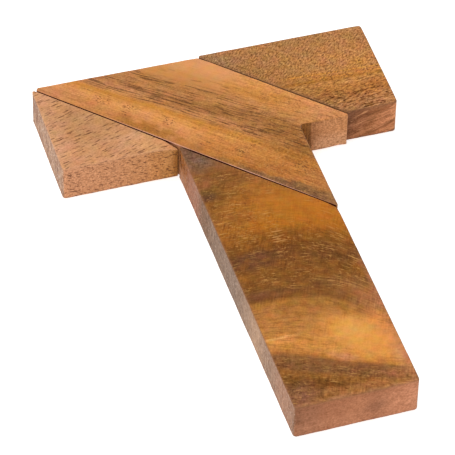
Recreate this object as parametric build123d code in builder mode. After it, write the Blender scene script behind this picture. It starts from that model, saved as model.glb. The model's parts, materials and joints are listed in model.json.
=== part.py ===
from build123d import *

import math
import os

# Four-piece wooden T puzzle, laid out solved, as a capital T lying flat.
#
# Frame: millimetres, +Z up, the table is Z = 0. The origin is on the underside, where the centre
# line of the crossbar crosses the centre line of the stem. +X runs along the crossbar to the right,
# and +Y runs along the stem, away from its foot. "Far" is towards +Y and "near" is towards -Y.
#
# All four blocks are cut from one planed strip by square and 45 degree cuts. They are cut and sanded
# by hand, so each side is a few tenths of a millimetre off its nominal length, and the blocks lie
# loosely together with thin uneven gaps between them.

# ---- the strip the set is cut from
strip_width = 30.0          # nominal, also the width of the crossbar and the stem
strip_thickness = 10.0      # planed, the same for all four blocks

# ---- edges
corner_radius = 0.9         # upright square and blunt corners, and the pentagon's far left tip
tip_radius = 0.5            # the other upright 45 degree tips, which are left sharper
notch_radius = 1.5          # the inward corner of the pentagon, left by the saw and the file
arris_radius = 0.4          # long edges round the top and the underside

# ---- centre pentagon, measured from its far left tip
pentagon_corner = (-45.0, 15.0)     # far left tip, where the left end of the crossbar starts
pentagon_far_side = 42.6            # nominally strip_width * sqrt(2)
pentagon_near_reach = 72.8          # to the near right corner, along X
pentagon_notch_reach = 59.85        # to the inward corner, along X
pentagon_tongue_reach = 60.35       # to the tongue's end, along X
pentagon_tongue_drop = 59.75        # to the tongue's end, along -Y

# ---- left triangle: right-angled, both short sides nominally strip_width
triangle_corner = (-45.05, 14.78)   # far left tip
triangle_end_side = 29.6            # left end of the crossbar
triangle_near_side = 29.4           # near side of the crossbar
triangle_turn = 0.38                # degrees anticlockwise from square, as for each turn below

# ---- right trapezoid: one square end, one 45 degree end
right_corner = (-2.78, 15.62)       # far left tip, against the pentagon
right_far_side = 43.2
right_end_side = 29.4
right_near_side = 13.3
right_turn = 0.16

# ---- stem: one square foot, one 45 degree top
stem_corner = (-15.75, -14.50)      # top left tip, under the triangle's inner tip
stem_width = 30.15
stem_left_side = 89.1
stem_right_side = 58.6
stem_turn = 0.97


def make_block(name, corner, outline, turn=0.0):
    """A block with rounded edges, its outline drawn from a corner on the table.

    Each outline entry is x, y and the radius of the upright edge there. The whole outline
    is turned about the corner by some degrees.
    """
    angle = math.radians(turn)
    table = Plane(
        origin=(*corner, 0.0),
        x_dir=(math.cos(angle), math.sin(angle), 0.0),
        z_dir=(0.0, 0.0, 1.0),
    )
    with BuildPart() as block:
        with BuildSketch(table):
            with BuildLine():
                Polyline(*[(x, y) for x, y, _ in outline], close=True)
            make_face()
        extrude(amount=strip_thickness)

        # Upright edges, one radius at a time. Each is found by its place at mid height.
        for radius in (notch_radius, tip_radius, corner_radius):
            places = [
                tuple(table.from_local_coords(Vector(x, y, strip_thickness / 2)))
                for x, y, edge_radius in outline
                if edge_radius == radius
            ]
            if places:
                uprights = block.edges().filter_by(Axis.Z)
                fillet([uprights.sort_by_distance(place)[0] for place in places], radius=radius)

        # The edges round the top, then those round the underside.
        for level in (-1, 0):
            fillet(block.faces().sort_by(Axis.Z)[level].edges(), radius=arris_radius)
    block.part.label = name
    return block.part


# The diagonal strip with a square notch cut from its right side. Its long diagonal side carries
# the triangle and the stem, its short one the right trapezoid.
centre_pentagon = make_block(
    "centre_pentagon",
    pentagon_corner,
    [
        (0.0, 0.0, corner_radius),
        (pentagon_far_side, 0.0, corner_radius),
        (pentagon_near_reach, -strip_width, tip_radius),
        (pentagon_notch_reach, -strip_width, notch_radius),
        (pentagon_tongue_reach, -pentagon_tongue_drop, tip_radius),
    ],
)

# The triangle at the left end of the crossbar.
left_triangle = make_block(
    "left_triangle",
    triangle_corner,
    [
        (0.0, 0.0, tip_radius),
        (0.0, -triangle_end_side, corner_radius),
        (triangle_near_side, -triangle_end_side, tip_radius),
    ],
    turn=triangle_turn,
)

# The four-sided block at the right end of the crossbar.
right_trapezoid = make_block(
    "right_trapezoid",
    right_corner,
    [
        (0.0, 0.0, tip_radius),
        (right_far_side, 0.0, corner_radius),
        (right_far_side, -right_end_side, corner_radius),
        (right_far_side - right_near_side, -right_end_side, corner_radius),
    ],
    turn=right_turn,
)

# The stem. Its 45 degree top lies against the lower half of the pentagon's long diagonal side.
stem_trapezoid = make_block(
    "stem_trapezoid",
    stem_corner,
    [
        (0.0, 0.0, tip_radius),
        (stem_width, stem_right_side - stem_left_side, corner_radius),
        (stem_width, -stem_left_side, corner_radius),
        (0.0, -stem_left_side, corner_radius),
    ],
    turn=stem_turn,
)

os.makedirs("parts", exist_ok=True)
for part in (centre_pentagon, left_triangle, right_trapezoid, stem_trapezoid):
    export_step(part, f"parts/{part.label}.step")
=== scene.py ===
import json
import math

import bpy
import numpy as np
from mathutils import Matrix, Vector, noise
from mathutils.geometry import delaunay_2d_cdt


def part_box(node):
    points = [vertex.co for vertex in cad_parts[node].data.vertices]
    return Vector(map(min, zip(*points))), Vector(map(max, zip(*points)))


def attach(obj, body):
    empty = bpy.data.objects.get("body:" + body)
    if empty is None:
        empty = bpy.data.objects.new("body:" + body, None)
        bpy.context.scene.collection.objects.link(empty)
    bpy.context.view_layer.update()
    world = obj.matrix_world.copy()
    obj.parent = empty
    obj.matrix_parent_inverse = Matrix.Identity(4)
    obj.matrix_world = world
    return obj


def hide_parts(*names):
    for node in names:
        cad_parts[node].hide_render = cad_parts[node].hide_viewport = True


# The four blocks of a flat wooden T puzzle, lying on the floor: +z is up, +y is far, +x is right.
# Each CAD block is rebuilt as a sanded mesh around its plan. The wood is solid and procedural,
# so bands and pores run over the arrises (the worn edges) and show on every face.
# Geometry and wood are in millimetres; the floor, lights and camera are in metres.

MM = 0.001

# meshing
LEVEL_SHIFT = 0.0137    # keeps the plan cut off the mesh's own vertices
JOIN_GAP = 0.02         # largest gap bridged when cuts are chained
STRAIGHT = 0.99995      # cosine above which two cuts are on one side
SIDE_LENGTH = 3.0       # shorter runs belong to a rounded corner
POINT_STEP = 0.40       # spacing of the points round a plan
ARC_DEGREES = 12        # largest turn between points of a rounded corner
ARRIS_STEPS = 7
WALL_STEPS = 12
GRID = 1.15             # spacing of the points inside a flat face
GRID_MARGIN = 0.55      # clear distance between those points and the rim
MIN_ARRIS = 0.16
MIN_RADIUS = 0.05
HOLLOW = 0.14           # depth planed out of a mating side

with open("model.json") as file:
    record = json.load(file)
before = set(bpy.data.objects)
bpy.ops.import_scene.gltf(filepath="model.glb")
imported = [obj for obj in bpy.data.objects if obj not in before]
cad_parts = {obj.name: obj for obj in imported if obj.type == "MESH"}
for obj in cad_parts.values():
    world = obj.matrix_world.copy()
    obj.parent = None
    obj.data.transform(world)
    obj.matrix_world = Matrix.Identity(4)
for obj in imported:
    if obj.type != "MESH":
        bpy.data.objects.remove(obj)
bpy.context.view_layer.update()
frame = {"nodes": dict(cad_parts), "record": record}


# ---------------------------------------------------------------- outline of a CAD block

def unit(vector):
    return vector / np.linalg.norm(vector)


def plan_cuts(node_name):
    """Segments where the block's mesh crosses mid height, each with the wood on its left."""
    mesh = frame["nodes"][node_name].data
    points = np.array([v.co for v in mesh.vertices], float).reshape(-1, 3) / MM
    level = (points[:, 2].min() + points[:, 2].max()) / 2 + LEVEL_SHIFT
    mesh.calc_loop_triangles()
    cuts = []
    for triangle in mesh.loop_triangles:
        tri = points[list(triangle.vertices)]
        above = tri[:, 2] - level
        ends = []
        for i in range(3):
            j = (i + 1) % 3
            if above[i] * above[j] < 0:
                ends.append(tri[i] + (tri[j] - tri[i]) * (above[i] / (above[i] - above[j])))
        if len(ends) == 2:
            normal = np.cross(tri[1] - tri[0], tri[2] - tri[0])
            along = np.array([-normal[1], normal[0]])
            start, end = ends[0][:2], ends[1][:2]
            if (end - start) @ along < 0:
                start, end = end, start
            if np.linalg.norm(end - start) > 1e-5:
                cuts.append((start, end))
    return cuts


def chained(cuts):
    """The cuts in order round the plan."""
    used, chain = {0}, [cuts[0]]
    while len(used) < len(cuts):
        tail = chain[-1][1]
        gaps = {k: np.linalg.norm(cut[0] - tail) for k, cut in enumerate(cuts) if k not in used}
        best = min(gaps, key=gaps.get)
        if gaps[best] > JOIN_GAP:
            break
        used.add(best)
        chain.append(cuts[best])
    return chain


def sides_of(node_name):
    """The long straight sides of the plan, counter-clockwise: [(point, direction), ...]."""
    runs = []
    for start, end in chained(plan_cuts(node_name)):
        heading = unit(end - start)
        if runs and runs[-1][2] @ heading > STRAIGHT:
            runs[-1][1] = end
        else:
            runs.append([start, end, heading])
    if runs[0][2] @ runs[-1][2] > STRAIGHT:
        runs[0][0] = runs[-1][0]
        runs.pop()
    return [(start, unit(end - start)) for start, end, _ in runs
            if np.linalg.norm(end - start) > SIDE_LENGTH]


def corners_of(node_name):
    """Sharp corners of the plan, counter-clockwise, starting from the far left one."""
    sides = sides_of(node_name)
    points = []
    for (p, heading), (q, leaving) in zip(sides, sides[1:] + sides[:1]):
        distance = np.linalg.solve(np.array([heading, -leaving]).T, q - p)[0]
        points.append(p + heading * distance)
    first = max(range(len(points)), key=lambda i: points[i][1] - points[i][0])
    return [np.array(points[(first + i) % len(points)]) for i in range(len(points))]


class Bend:
    """One rounded corner of a plan."""

    def __init__(self, before, corner, after, radius):
        self.corner, self.radius = corner, radius
        self.heading = unit(corner - before)
        leaving = unit(after - corner)
        self.normal_in = np.array([self.heading[1], -self.heading[0]])
        self.normal_out = np.array([leaving[1], -leaving[0]])
        self.turn = math.acos(max(-1, min(1, float(self.heading @ leaving))))
        self.convex = self.heading[0] * leaving[1] - self.heading[1] * leaving[0] > 0
        self.middle = unit(self.normal_in + self.normal_out)

    def at(self, part, inset):
        """The point at a part 0..1 of the turn, moved into the wood by the inset."""
        side = self.heading if self.convex else -self.heading
        angle = self.turn * part
        normal = self.normal_in * math.cos(angle) + side * math.sin(angle)
        slant = math.cos(self.turn / 2)
        if self.convex:
            radius = max(self.radius - inset, MIN_RADIUS)
            return self.corner - self.middle * (inset + radius) / slant + normal * radius
        return self.corner + self.middle * self.radius / slant - normal * (self.radius + inset)


class Outline:
    """A plan with rounded corners, drawn at any inset with the same points round it."""

    def __init__(self, corners, radii):
        count = len(corners)
        self.bends = [Bend(corners[i - 1], corners[i], corners[(i + 1) % count], radii[i])
                      for i in range(count)]
        # (corner, part, on the bend?): part runs round the bend or along the side after it
        self.points = []
        for i, bend in enumerate(self.bends):
            arc_steps = max(5, math.ceil(math.degrees(bend.turn) / ARC_DEGREES),
                            math.ceil(bend.turn * bend.radius / POINT_STEP))
            self.points += [(i, j / arc_steps, True) for j in range(arc_steps + 1)]
            length = np.linalg.norm(corners[(i + 1) % count] - bend.corner)
            side_steps = max(2, math.ceil(length / POINT_STEP))
            self.points += [(i, j / side_steps, False) for j in range(1, side_steps)]
        self.count = len(self.points)
        self.base = self.at(np.zeros(self.count))
        # nearest sharp corner of each point, and the distance to it
        distances = np.array([[np.linalg.norm(p - c) for c in corners] for p in self.base])
        self.nearest, self.reach = distances.argmin(1), distances.min(1)

    def at(self, insets):
        places = []
        for (i, part, on_bend), inset in zip(self.points, insets):
            bend = self.bends[i]
            if on_bend:
                places.append(bend.at(part, inset))
            else:
                after = self.bends[(i + 1) % len(self.bends)]
                places.append(bend.at(1.0, inset) * (1 - part) + after.at(0.0, inset) * part)
        return np.array(places)

    def mask(self, corner, on_bend):
        """The points on one bend, or on the side that follows it."""
        return np.array([i == corner and bent == on_bend for i, _, bent in self.points])


# ---------------------------------------------------------------- unevenness

def smooth(values, low, high):
    part = np.clip((values - low) / (high - low), 0, 1)
    return part * part * (3 - 2 * part)


def ripple(places, size, seed, z=0.0):
    """Smooth noise in -1..1 at each 2-D point."""
    return np.array([
        noise.noise(Vector((p[0] / size + seed * 17.3, p[1] / size - seed * 9.1, z + seed * 3.7)))
        for p in places])


def waves(places, base, seed, *terms, z=0.0):
    """base plus ripples, each given as (amount, size, seed offset)."""
    total = base
    for amount, size, offset in terms:
        total = total + amount * ripple(places, size, seed + offset, z)
    return total


# ---------------------------------------------------------------- one block as a mesh

def arris_widths(plan, seed, top, arris, tips, slim, wide):
    """Width of the arris at each point of the plan, for the top or the bottom face."""
    places = plan.base
    seed += 10 if top else 20
    widths = arris * waves(places, 1, seed, (0.30, 11.0, 0), (0.28, 3.2, 1), (0.14, 1.1, 2))
    for x, y, on_top, reach, extra in wide:
        if on_top == top:
            distance = np.linalg.norm(places - np.array([x, y]), axis=1)
            widths = widths + extra * np.exp(-((distance / reach) ** 2))
    for side, value in slim.items():
        there = plan.mask(side, on_bend=False)
        widths[there] = value * waves(places[there], 1, seed, (0.30, 4.0, 3))
    for i in range(len(plan.bends)):
        here = plan.mask(i, on_bend=True)
        value = tips.get(i, float(widths[here].mean()))
        beside = (plan.nearest == i) & ~here
        widths[here] = value
        blend = smooth(plan.reach[beside], 0.6, 3.2)
        widths[beside] = value * (1 - blend) + widths[beside] * blend
    return np.clip(widths, MIN_ARRIS, None)


def arris_rings(plan, sway, widths, depths, edge, up):
    """Rings (plan, heights, arris share) from a flat face round the arris to the wall."""
    def full(value):
        return np.full(plan.count, value)

    rings = [(plan.at(widths + 0.12 + sway), full(edge), full(0.20))]
    for k in range(ARRIS_STEPS + 1):
        angle = math.pi / 2 * k / ARRIS_STEPS
        share = math.sin(2 * angle) ** 0.5 if 0 < k < ARRIS_STEPS else 0.45
        rings.append((plan.at(widths * (1 - math.sin(angle)) + sway),
                      edge - up * depths * (1 - math.cos(angle)), full(share)))
    return rings


def wall_rings(plan, sway, seed, mating, upper, lower, thickness):
    """Rings between two heights: a slight belly everywhere, and a hollow on the mating sides."""
    hollow = np.array([0.0 if on_bend or i not in mating else HOLLOW
                       for i, _, on_bend in plan.points])
    hollow = hollow * smooth(plan.reach, 0.8, 3.0)
    rings = []
    for k in range(1, WALL_STEPS):
        part = k / WALL_STEPS
        from_face = min(part, 1 - part) * thickness
        belly = waves(plan.base, 0.018, seed, (0.018, 9.0, 41), z=part * 1.3)
        belly = (belly + hollow) * min(1.0, from_face / 1.0)
        share = max(0.0, 0.35 - 0.35 * from_face / 1.2)
        rings.append((plan.at(sway + belly), upper + (lower - upper) * part,
                      np.full(plan.count, share)))
    return rings


def grid_inside(rim):
    """Staggered grid points inside a rim and clear of it."""
    low, high = rim.min(0), rim.max(0)
    xs, ys = np.meshgrid(np.arange(low[0], high[0], GRID), np.arange(low[1], high[1], GRID * 0.866))
    xs = xs + (np.arange(xs.shape[0]) % 2)[:, None] * GRID / 2
    points = np.column_stack([xs.ravel(), ys.ravel()])
    inside = np.zeros(len(points), bool)
    for (x1, y1), (x2, y2) in zip(rim, np.roll(rim, -1, axis=0)):
        crosses = (y1 > points[:, 1]) != (y2 > points[:, 1])
        if y1 != y2:
            inside ^= crosses & (points[:, 0] < (x2 - x1) * (points[:, 1] - y1) / (y2 - y1) + x1)
    nearest = np.full(len(points), 1e9)
    for p in rim:
        nearest = np.minimum(nearest, ((points - p) ** 2).sum(1))
    return points[inside & (np.sqrt(nearest) > GRID_MARGIN)]


def add_cap(verts, faces, start, count, level, face_down):
    """Triangulate the flat face inside the ring from start; give verts with its new points."""
    rim = verts[start:start + count, :2]
    flat = [Vector((float(x), float(y))) for x, y in np.concatenate([rim, grid_inside(rim)])]
    edges = [(i, (i + 1) % count) for i in range(count)]
    out_points, _, out_faces, origins, _, _ = delaunay_2d_cdt(flat, edges, [], 1, 1e-7)
    index, extra = [], []
    for point, origin in zip(out_points, origins):
        if origin and origin[0] < count:
            index.append(start + origin[0])
        else:
            index.append(len(verts) + len(extra))
            extra.append((point.x, point.y, level))
    if extra:
        verts = np.concatenate([verts, np.array(extra)])
    for face in out_faces:
        loop = [index[i] for i in face]
        p, q, r = verts[loop][:3, :2]
        area = (q[0] - p[0]) * (r[1] - p[1]) - (r[0] - p[0]) * (q[1] - p[1])
        if (area > 0) == face_down:
            loop.reverse()
        faces.append(tuple(loop))
    return verts


def cut_back(verts, point, normal, softness):
    """Push everything beyond a plane back to it, softly."""
    normal = unit(np.array(normal, float))
    beyond = (verts - np.array(point)) @ normal
    eased = softness * np.log1p(np.exp(np.clip(beyond / softness, -40, 40)))
    push = np.where(beyond > 6 * softness, beyond, eased)
    return verts - normal * (push * (beyond > -4 * softness))[:, None]


def dented(verts, mesh, share, seed):
    """Verts moved a little into the wood, most of all along the arrises."""
    normals = np.zeros(len(mesh.vertices) * 3)
    mesh.vertices.foreach_get("normal", normals)
    broad = np.array([noise.noise(Vector(v / 13.0) + Vector((seed * 5.1, 0, 0))) for v in verts])
    small = np.array([noise.noise(Vector(v / 2.1) + Vector((0, seed * 7.7, 0))) for v in verts])
    dent = np.clip(0.013 + 0.012 * broad + share * 0.026 * small, 0.002, None)
    return verts - normals.reshape(-1, 3) * dent[:, None]


def make_block(node_name, name, radii, arris, seed, tips, slim, wide=(), mating=(), flats=()):
    """One sanded block as an object, and its corners. BLOCKS explains the arguments."""
    corners = corners_of(node_name)
    low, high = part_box(node_name)
    bottom, top = low.z / MM, high.z / MM
    plan = Outline(corners, radii)
    # the walls are a little wavy, never outside the cut line
    sway = waves(plan.base, 0.016, seed, (0.012, 16.0, 0), (0.008, 4.0, 1))
    ends = []
    for on_top, edge, up in ((True, top, 1), (False, bottom, -1)):
        widths = arris_widths(plan, seed, on_top, arris, tips, slim, wide)
        depths = np.clip(widths * waves(plan.base, 0.92, seed, (0.2, 6.0, 31)), MIN_ARRIS, None)
        ends.append(arris_rings(plan, sway, widths, depths, edge, up))
    upper, lower = ends
    stack = upper + wall_rings(plan, sway, seed, mating, upper[-1][1], lower[-1][1], top - bottom)
    stack += list(reversed(lower))

    count = plan.count
    verts = np.concatenate([np.column_stack([places, z]) for places, z, _ in stack])
    share = np.concatenate([ring_share for _, _, ring_share in stack])
    faces = []
    for ring in range(len(stack) - 1):
        above, below = ring * count, (ring + 1) * count
        for i in range(count):
            j = (i + 1) % count
            faces.append((above + i, below + i, below + j, above + j))
    verts = add_cap(verts, faces, 0, count, top, face_down=False)
    verts = add_cap(verts, faces, (len(stack) - 1) * count, count, bottom, face_down=True)
    share = np.concatenate([share, np.zeros(len(verts) - len(share))])
    for flat in flats:
        verts = cut_back(verts, *flat)

    mesh = bpy.data.meshes.new(name)
    mesh.from_pydata((verts * MM).tolist(), [], faces)
    mesh.validate()
    mesh.update()
    mesh.vertices.foreach_set("co", (dented(verts, mesh, share, seed) * MM).ravel())
    mesh.update()
    attribute = mesh.attributes.new("arris", "FLOAT", "POINT")
    attribute.data.foreach_set("value", share.astype(np.float32))
    mesh.polygons.foreach_set("use_smooth", np.ones(len(mesh.polygons), bool))
    return place_object(name, mesh), corners


def place_object(name, data):
    placed = bpy.data.objects.new(name, data)
    bpy.context.scene.collection.objects.link(placed)
    return placed


# ---------------------------------------------------------------- shader nodes as sums

def tree_of(values):
    return next(v.socket.id_data for v in values if isinstance(v, Signal))


def node(kind, inputs, tree=None, **settings):
    """Add a shader node to the tree its inputs come from, and give all its outputs."""
    tree = tree or tree_of(inputs.values())
    made = tree.nodes.new("ShaderNode" + kind)
    for name, setting in settings.items():
        setattr(made, name, setting)
    for key, value in inputs.items():
        socket = made.inputs[key]
        if isinstance(value, Signal):
            tree.links.new(value.socket, socket)
        elif isinstance(value, tuple) and socket.type == "RGBA":
            socket.default_value = (*value, 1.0)
        else:
            socket.default_value = value
    return [Signal(socket) for socket in made.outputs]


def math_node(operation, *values, clamp=False, tree=None):
    inputs = dict(enumerate(values))
    return node("Math", inputs, tree, operation=operation, use_clamp=clamp)[0]


class Signal:
    """An output socket; each operator on it adds one Math node."""

    def __init__(self, socket):
        self.socket = socket

    def __add__(self, other):
        return math_node("ADD", self, other)

    def __sub__(self, other):
        return math_node("SUBTRACT", self, other)

    def __rsub__(self, other):
        return math_node("SUBTRACT", other, self)

    def __mul__(self, other):
        return math_node("MULTIPLY", self, other)

    def __truediv__(self, other):
        return math_node("DIVIDE", self, other)

    def __pow__(self, other):
        return math_node("POWER", self, other)

    def __abs__(self):
        return math_node("ABSOLUTE", self)

    def lin(self, slope, offset):
        return math_node("MULTIPLY_ADD", self, slope, offset)

    def step(self, start, end, at_start=0.0, at_end=1.0):
        """Ease from at_start to at_end between start and end, which may run downwards."""
        if start > end:
            start, end, at_start, at_end = end, start, at_end, at_start
        inputs = {"Value": self, "From Min": start, "From Max": end,
                  "To Min": at_start, "To Max": at_end}
        return node("MapRange", inputs, interpolation_type="SMOOTHSTEP")[0]

    def window(self, rise, risen, fall, fallen):
        """1 between risen and fall, easing to 0 at rise and fallen."""
        return self.step(rise, risen) * self.step(fallen, fall)

    def close(self, centre, outer, inner):
        """1 within inner of the centre, easing to 0 at outer."""
        return abs(self - centre).step(outer, inner)


def highest(first, *others):
    for other in others:
        first = math_node("MAXIMUM", first, other)
    return first


def combine(x, y, z):
    return node("CombineXYZ", {0: x, 1: y, 2: z})[0]


def vector_math(operation, first, second):
    return node("VectorMath", {0: first, 1: second}, operation=operation)[0]


def texture(point, detail=2.0, rough=0.5, output=0):
    """Noise around 0.5 with features about one unit across. Output 1 is its colour."""
    inputs = {"Vector": point, "Scale": 1.0, "Detail": detail, "Roughness": rough}
    return node("TexNoise", inputs)[output]


def mix(factor, first, second, blend="MIX"):
    inputs = {0: factor, 6: first, 7: second}
    return node("Mix", inputs, data_type="RGBA", blend_type=blend)[2]


def times(colour, factors):
    return mix(1.0, colour, factors, "MULTIPLY")


def bands(value, stops):
    """Colour as a function of a value, eased between stops of (value, colour)."""
    low, high = stops[0][0], stops[-1][0]
    colour = node("ValToRGB", {0: math_node("DIVIDE", value - low, high - low, clamp=True)})[0]
    ramp = colour.socket.node.color_ramp
    ramp.interpolation = "EASE"
    while len(ramp.elements) < len(stops):
        ramp.elements.new(0.5)
    for element, (at, stop_colour) in zip(ramp.elements, stops):
        element.position = (at - low) / (high - low)
        element.color = (*stop_colour, 1.0)
    return colour


def curve(value, stops):
    """A number 0..1 as a function of a value, eased between stops of (value, number)."""
    grey = bands(value, [(at, (level,) * 3) for at, level in stops])
    return node("SeparateColor", {0: grey})[0]


def shade(colour, amount):
    """colour times (1 + amount), a little more saturated where it darkens."""
    tree = tree_of((colour, amount))
    factors = combine(*[math_node("MULTIPLY_ADD", amount, tilt, 1.0, tree=tree)
                        for tilt in (0.86, 1.0, 1.16)])
    return times(colour, vector_math("MAXIMUM", factors, (0.12, 0.10, 0.08)))


# ---------------------------------------------------------------- parts of a wood

class Fibres:
    """Axes of the grain in mm, with the figures that are drawn out along them.
    along and across are the lengths of a feature; seeds shift the pattern."""

    def __init__(self, along, across, up):
        self.axes = along, across, up

    def point(self, along, across, seed, lift):
        length, width, height = self.axes
        return combine(length.lin(1 / along, seed), width / across, height.lin(1 / across, lift))

    def divided(self, along, across, up):
        length, width, height = self.axes
        return combine(length / along, width / across, height / up)

    def variation(self, seed, sizes):
        """Signed variation, summed over sizes of (along, across, amount, detail)."""
        total = None
        for k, (along, across, amount, detail) in enumerate(sizes):
            point = self.point(along, across, seed + 3.1 * k, seed * 0.7)
            part = (texture(point, detail, 0.55) - 0.5) * amount
            total = total + part if k else part
        return total

    def streaks(self, along, across, seed, low, high, detail=2.0):
        """Long thin lines, where the noise rises from low to high."""
        return texture(self.point(along, across, seed, seed * 0.37), detail).step(low, high)

    def threads(self, along, across, seed, width):
        """Hair-thin lines, where a long smooth noise crosses its middle."""
        smooth_noise = texture(self.point(along, across, seed, seed * 0.37), 0.0)
        return smooth_noise.close(0.5, width, width * 0.3)

    def dashes(self, along, across, size, seed, chop=0.45, least=0.2):
        """Cut pores: thin ellipsoids, broken by noise of length chop down to a least strength."""
        length, width, height = self.axes
        shaken = combine(length * 0.3, width * 0.3, height.lin(0.3, seed))
        shake = (texture(shaken, 1.0) - 0.5) * 1.1
        point = combine(length.lin(1 / along, seed * 1.3), width * (1 / across) + shake,
                        height.lin(1 / across, seed * 0.9))
        distance, cell_colour = node("TexVoronoi", {"Vector": point, "Scale": 1.0})[:2]
        chance = node("SeparateColor", {0: cell_colour})[0]
        body = distance.step(size * 1.2, size * 0.70) * chance.lin(0.55, 0.45)
        chopped = texture(combine(length.lin(1 / chop, seed), width / 0.5, height / 0.5), 1.0)
        return body * chopped.step(0.40, 0.54).lin(1 - least, least)


class Wood:
    """A wood material in the making: its position signals in mm and the colour so far."""

    def __init__(self, name):
        self.material = bpy.data.materials.new(name)
        self.material.use_nodes = True
        tree = self.material.node_tree
        tree.nodes.clear()
        position = node("TexCoord", {}, tree)[3]    # object coordinates
        self.point = vector_math("MULTIPLY", position, (1000.0, 1000.0, 1000.0))
        self.xyz = node("SeparateXYZ", {0: self.point})
        self.normal = node("NewGeometry", {}, tree)[1]
        self.arris = node("Attribute", {}, tree, attribute_name="arris")[2]
        self.nx, self.ny, nz = node("SeparateXYZ", {0: self.normal})
        # how much a point is on a face square to y, on a face square to x, and on any wall
        self.faces = (abs(self.ny).step(0.50, 0.86), abs(self.nx).step(0.50, 0.86),
                      abs(nz).step(0.80, 0.30))

    def paint(self, mask, colour):
        self.colour = mix(mask, self.colour, colour)

    def tone(self, mask, factors):
        """Multiply the colour where the mask is."""
        self.paint(mask, times(self.colour, factors))

    def spot(self, centre_x, centre_y, half_long, half_wide, turn, soft=0.5, wobble=None,
             plane=None):
        """1 inside an ellipse turned by degrees in plan, or in another plane, fading to 0."""
        cos, sin = math.cos(math.radians(turn)), math.sin(math.radians(turn))
        x, y = plane or self.xyz[:2]
        long = ((x - centre_x) * cos + (y - centre_y) * sin) / half_long
        wide = ((x - centre_x) * -sin + (y - centre_y) * cos) / half_wide
        distance = math_node("SQRT", long * long + wide * wide)
        if wobble is not None:
            distance = distance + wobble
        return distance.step(1.0 + soft, 1.0 - soft)

    def patches(self, rows):
        """Paint spots in turn and give their masks. Each named row is
        x, y, half length, half width, turn, softness, wobble, strength, colour."""
        masks = {}
        for name, (*place, strength, colour) in rows.items():
            masks[name] = self.spot(*place)
            self.paint(masks[name] * strength, colour)
        return masks

    def touches(self, rows):
        """Tone soft spots in turn: x, y, half length, half width, turn, colour factors."""
        for *place, factors in rows:
            self.tone(self.spot(*place, soft=0.9), factors)

    def scaled(self, x, y, z, detail):
        """Noise at the position times x, y and z."""
        return texture(vector_math("MULTIPLY", self.point, (x, y, z)), detail)

    def cloud(self, size, seed, detail=2.0):
        """Noise around 0.5, the same in every direction."""
        point = vector_math("DIVIDE", self.point, (size, size, size))
        return texture(vector_math("ADD", point, (seed, seed * 0.6, -seed)), detail)

    def ragged(self, size, seed, amount):
        """A signed cloud that makes an outline uneven."""
        return (self.cloud(size, seed) - 0.5) * amount

    def grit(self, size, seed, detail=1.0, squash=(1.0, 1.0, 1.0)):
        """Signed even grain, the same in every direction unless squashed."""
        point = vector_math("MULTIPLY", self.point, tuple(k / size for k in squash))
        point = vector_math("ADD", point, (seed, -seed, seed * 0.5))
        return texture(point, detail, 0.6) - 0.5

    def tint(self, size, amount, seed):
        """Let the hue wander from place to place."""
        point = vector_math("DIVIDE", self.point, (size, size, size))
        hue = texture(vector_math("ADD", point, (seed, -seed, seed)), 1.0, output=1)
        hue = vector_math("SUBTRACT", hue, (0.5, 0.5, 0.5))
        hue = vector_math("MULTIPLY", hue, (amount, amount * 0.9, amount * 2.2))
        self.colour = times(self.colour, vector_math("ADD", hue, (1.0, 1.0, 1.0)))

    def turned(self, yaw):
        """Plan coordinates turned so that the first runs along the yaw, in degrees."""
        cos, sin = math.cos(math.radians(yaw)), math.sin(math.radians(yaw))
        x, y = self.xyz[:2]
        return x * cos + y * sin, x * -sin + y * cos

    def fibres(self, yaw, dip, centre=(0.0, 0.0)):
        """Straight grain in a direction given in degrees."""
        yaw, dip = math.radians(yaw), math.radians(dip)
        axes = ((math.cos(yaw) * math.cos(dip), math.sin(yaw) * math.cos(dip), math.sin(dip)),
                (-math.sin(yaw), math.cos(yaw), 0.0),
                (-math.cos(yaw) * math.sin(dip), -math.sin(yaw) * math.sin(dip), math.cos(dip)))
        point = vector_math("SUBTRACT", self.point, (centre[0], centre[1], 0.0))
        return Fibres(*[node("VectorMath", {0: point, 1: axis}, operation="DOT_PRODUCT")[1]
                        for axis in axes])

    def seam_shadow(self, way, top=9.93, fade=0.13):
        """Painted shade: a hairline mask along the top of the walls that face (way, way) in plan, the
        seams between blocks.
        """
        facing = (self.nx * self.ny).step(0.22, 0.32) * ((self.nx + self.ny) * way).step(0.2, 0.6)
        z = self.xyz[2]
        return facing * z.step(9.05, 9.55) * z.step(top, top - fade)

    def finish(self, relief, rough, highlight_colour, arris_highlight, gap_shade, far_arris_shade=0.35, near_arris_shade=0.0,
               shadow_colour=None):
        """Paint highlight and shade on the arrises, then the painted seam shade if a colour is given,
        and make the surface.
        """
        level = 0.05    # specular level of the wood, taken away under the painted seam shade
        z = self.xyz[2]
        nx, ny = node("SeparateXYZ", {0: self.normal})[:2]
        near_top = (8.8, 9.3)
        # painted shade: the top arrises that face +x or +y, all but the diagonal ones, are darkened
        away = highest(ny.step(0.10, 0.60), nx.step(0.10, 0.60))
        away = self.arris * away * z.step(*near_top)
        diagonal = abs(nx - ny).step(0.40, 0.20) * (nx + ny).step(0.15, 0.45)
        away = away * (1.0 - diagonal)
        # painted highlight on the arrises, except near the bottom
        self.paint(self.arris * arris_highlight * z.step(1.0, 2.0), highlight_colour)
        self.paint(away * far_arris_shade, (0.16, 0.085, 0.055))
        # painted shade on the top arrises that face -x or -y, dimming their lit look
        if near_arris_shade:
            facing = highest(ny.step(-0.10, -0.55), nx.step(-0.10, -0.55))
            self.paint(self.arris * facing * z.step(*near_top) * near_arris_shade, (0.24, 0.11, 0.048))
        # painted shade: a dark line on the bottom arrises, where the block meets the floor
        self.paint(self.arris * z.step(0.9, 0.4) * 0.45, (0.15, 0.075, 0.045))
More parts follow.
